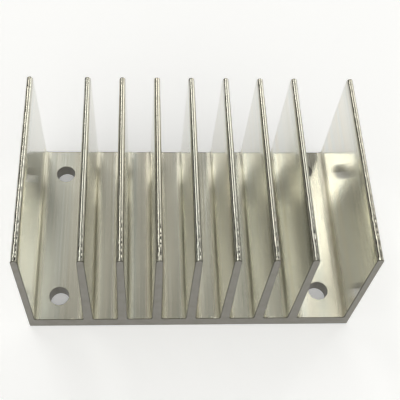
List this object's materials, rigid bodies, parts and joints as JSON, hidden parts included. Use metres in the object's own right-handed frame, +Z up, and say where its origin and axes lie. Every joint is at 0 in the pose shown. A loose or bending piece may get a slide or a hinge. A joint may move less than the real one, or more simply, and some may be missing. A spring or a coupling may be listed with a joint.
{
  "type": "extruded heat sink",
  "caption": "Extruded aluminium heat sink: upright plate fins on a flat base, with drilled screw holes at the corners in the wide outer channels.",
  "frame": {"origin": "middle of the base's underside", "axes": "+X across the fins, +Y along the extrusion, +Z up towards the fin tips"},
  "size_m": [0.1206, 0.075, 0.055],
  "materials": {
    "mill_finish": "mill finish extrusion with fine die lines, matt sawn ends"
  },
  "bodies": {
    "root": {"heat_sink": "mill_finish"}
  },
  "joints": []
}
